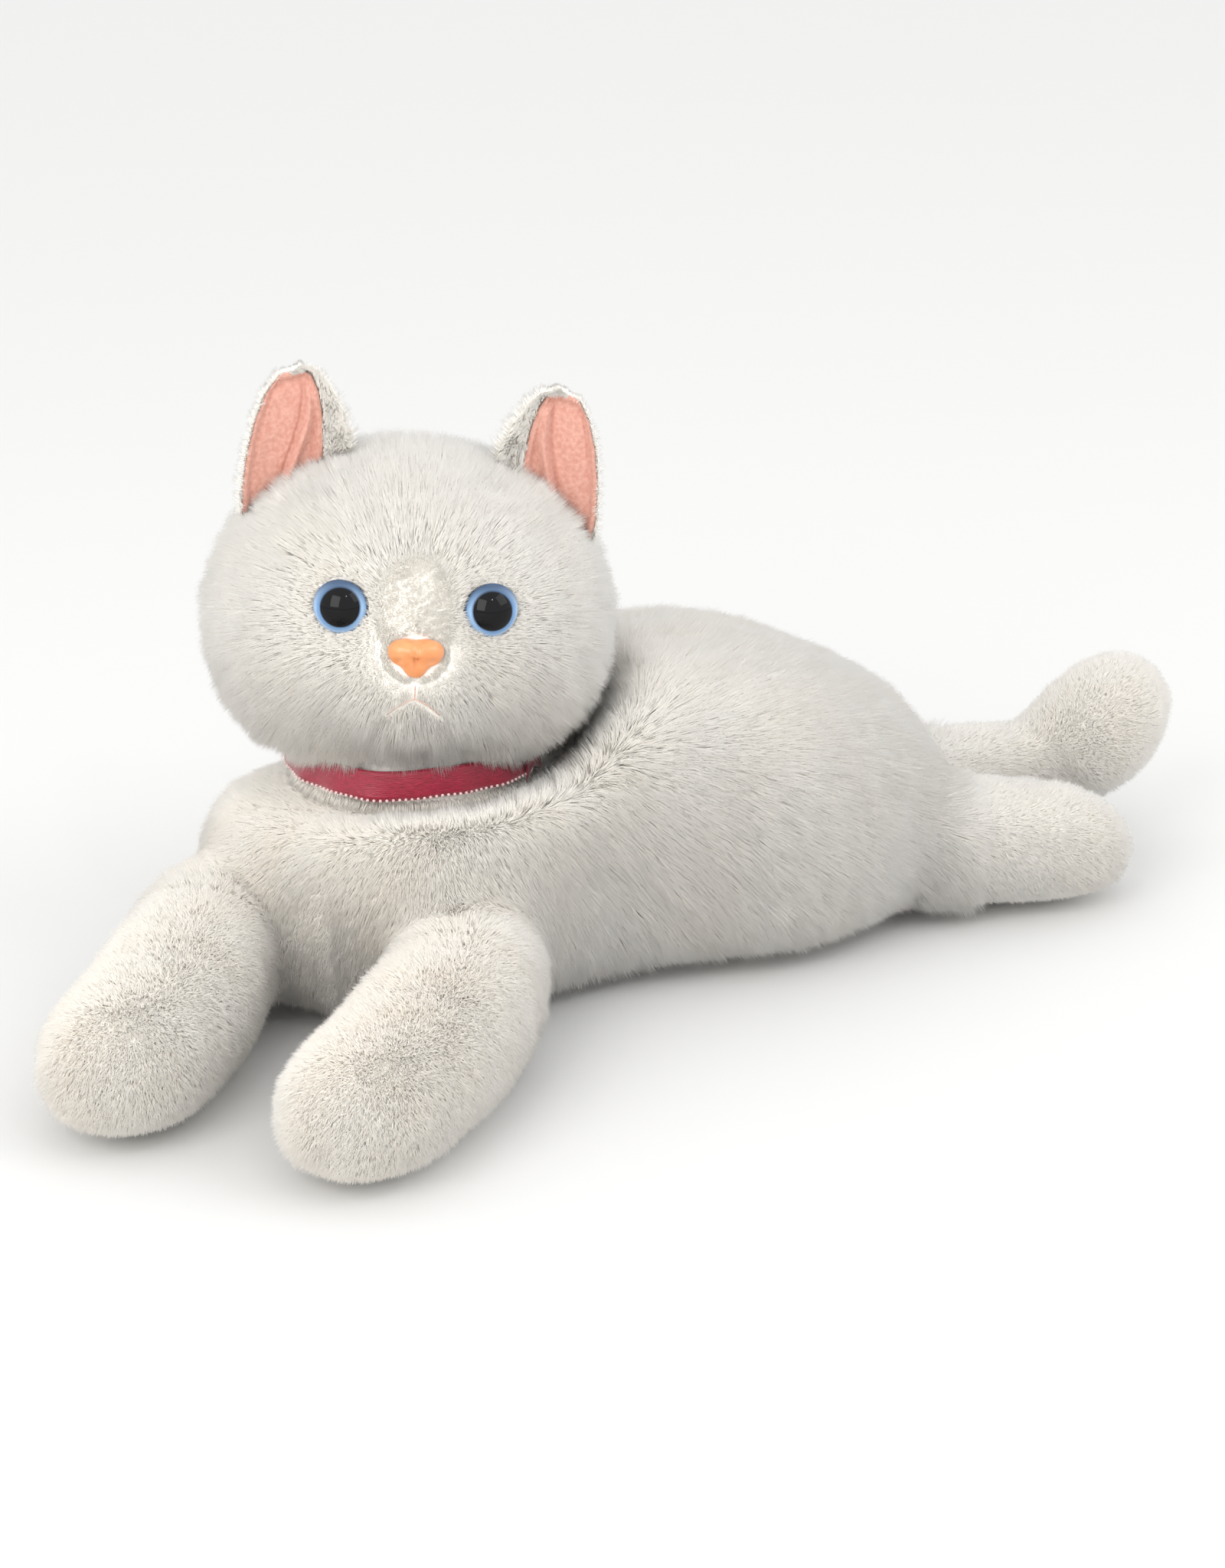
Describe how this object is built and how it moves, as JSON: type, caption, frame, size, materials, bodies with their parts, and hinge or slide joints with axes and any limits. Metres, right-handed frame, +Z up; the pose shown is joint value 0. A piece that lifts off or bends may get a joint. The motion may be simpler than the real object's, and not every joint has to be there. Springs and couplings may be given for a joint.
{
  "type": "plush cat",
  "caption": "Plush cat lying on its belly with legs stretched out, soft head, safety eyes and nose, bead-weighted body and a ribbon collar.",
  "frame": {"origin": "centre of the bounding box, on the surface the cat lies on", "axes": "+Z up, the body lies along Y with the front paws towards -Y, +X towards the cat's left"},
  "size_m": [0.225, 0.4652, 0.2083],
  "materials": {
    "long_pile": "long plush pile, cream white",
    "short_pile": "short trimmed pile, warm cream",
    "ear_velour": "short pink velour",
    "fibre_fill": "polyester fibre filling",
    "bead_bag": "woven bag of plastic beads",
    "ribbon": "crimson satin ribbon with a stitched edge",
    "eye_clear": "clear moulded dome",
    "eye_blue": "light blue with a dark rim",
    "eye_black": "black moulded plastic",
    "washer_plastic": "natural moulded plastic",
    "nose_plastic": "peach orange moulded plastic",
    "mouth_thread": "embroidery thread"
  },
  "bodies": {
    "torso": {"torso_left_panel": "long_pile", "torso_right_panel": "long_pile", "torso_belly_panel": "long_pile", "torso_stuffing": "fibre_fill", "torso_bead_bag": "bead_bag"},
    "neck": {"neck_cover": "long_pile", "neck_stuffing": "fibre_fill", "ribbon_collar": "ribbon", "ribbon_ends": "ribbon"},
    "head": {"head_left_panel": "long_pile", "head_right_panel": "long_pile", "head_crown_gusset": "long_pile", "head_nose_bridge": "short_pile", "head_chin_gusset": "long_pile", "head_stuffing": "fibre_fill", "left_eye_dome": "eye_clear", "left_eye_iris": "eye_blue", "left_eye_pupil": "eye_black", "left_eye_stem": "eye_black", "left_eye_washer": "washer_plastic", "right_eye_dome": "eye_clear", "right_eye_iris": "eye_blue", "right_eye_pupil": "eye_black", "right_eye_stem": "eye_black", "right_eye_washer": "washer_plastic", "nose": "nose_plastic", "nose_washer": "washer_plastic", "mouth_thread": "mouth_thread"},
    "left_ear": {"left_ear_back": "long_pile", "left_ear_lining": "ear_velour"},
    "right_ear": {"right_ear_back": "long_pile", "right_ear_lining": "ear_velour"},
    "front_left_leg": {"front_left_leg_top": "long_pile", "front_left_leg_under": "long_pile", "front_left_leg_stuffing": "fibre_fill", "front_left_paw_beads": "bead_bag"},
    "front_right_leg": {"front_right_leg_top": "long_pile", "front_right_leg_under": "long_pile", "front_right_leg_stuffing": "fibre_fill", "front_right_paw_beads": "bead_bag"},
    "hind_left_leg": {"hind_left_leg_top": "long_pile", "hind_left_leg_under": "long_pile", "hind_left_leg_stuffing": "fibre_fill", "hind_left_paw_beads": "bead_bag"},
    "hind_right_leg": {"hind_right_leg_top": "long_pile", "hind_right_leg_under": "long_pile", "hind_right_leg_stuffing": "fibre_fill", "hind_right_paw_beads": "bead_bag"},
    "tail_base": {"tail_base_top": "long_pile", "tail_base_under": "long_pile", "tail_base_stuffing": "fibre_fill"},
    "tail_tip": {"tail_tip_top": "long_pile", "tail_tip_under": "long_pile", "tail_tip_stuffing": "fibre_fill"}
  },
  "joints": [
    {"name": "head_turn", "type": "hinge", "parent": "torso", "child": "neck", "pos_m": [-0.053, -0.042, 0.074], "axis": [0, 0, 1], "range_deg": [-25, 25], "stiffness_Nm_per_rad": 0.35},
    {"name": "head_nod", "type": "hinge", "parent": "neck", "child": "head", "pos_m": [-0.053, -0.042, 0.127], "axis": [0.7071, 0.7071, 0], "range_deg": [-10, 10], "stiffness_Nm_per_rad": 0.6},
    {"name": "left_ear_fold", "type": "hinge", "parent": "head", "child": "left_ear", "pos_m": [-0.02289, -0.00765, 0.1623], "axis": [0.5137, 0.5137, -0.6872], "range_deg": [-20, 20], "stiffness_Nm_per_rad": 0.02},
    {"name": "right_ear_fold", "type": "hinge", "parent": "head", "child": "right_ear", "pos_m": [-0.08119, -0.06594, 0.17133], "axis": [0.6067, 0.6067, 0.5137], "range_deg": [-20, 20], "stiffness_Nm_per_rad": 0.02},
    {"name": "front_left_leg_lift", "type": "hinge", "parent": "torso", "child": "front_left_leg", "pos_m": [0.03399, -0.12246, 0.02628], "axis": [-0.9358, -0.3525, 0], "range_deg": [0, 35]},
    {"name": "front_right_leg_lift", "type": "hinge", "parent": "torso", "child": "front_right_leg", "pos_m": [-0.05643, -0.14518, 0.02628], "axis": [-0.8548, -0.5189, 0], "range_deg": [0, 35]},
    {"name": "hind_left_leg_lift", "type": "hinge", "parent": "torso", "child": "hind_left_leg", "pos_m": [0.072, 0.126, 0.024], "axis": [0.8088, -0.5881, 0], "range_deg": [0, 30]},
    {"name": "hind_right_leg_lift", "type": "hinge", "parent": "torso", "child": "hind_right_leg", "pos_m": [-0.06248, 0.13781, 0.02408], "axis": [0.9714, 0.2375, 0], "range_deg": [0, 30]},
    {"name": "tail_swing", "type": "hinge", "parent": "torso", "child": "tail_base", "pos_m": [0.03569, 0.1617, 0.02678], "axis": [0, 0, 1], "range_deg": [-15, 15], "stiffness_Nm_per_rad": 0.08},
    {"name": "tail_tip_bend", "type": "hinge", "parent": "tail_base", "child": "tail_tip", "pos_m": [0.05933, 0.20358, 0.04295], "axis": [0.8084, -0.5886, 0], "range_deg": [-12, 25], "stiffness_Nm_per_rad": 0.15}
  ]
}
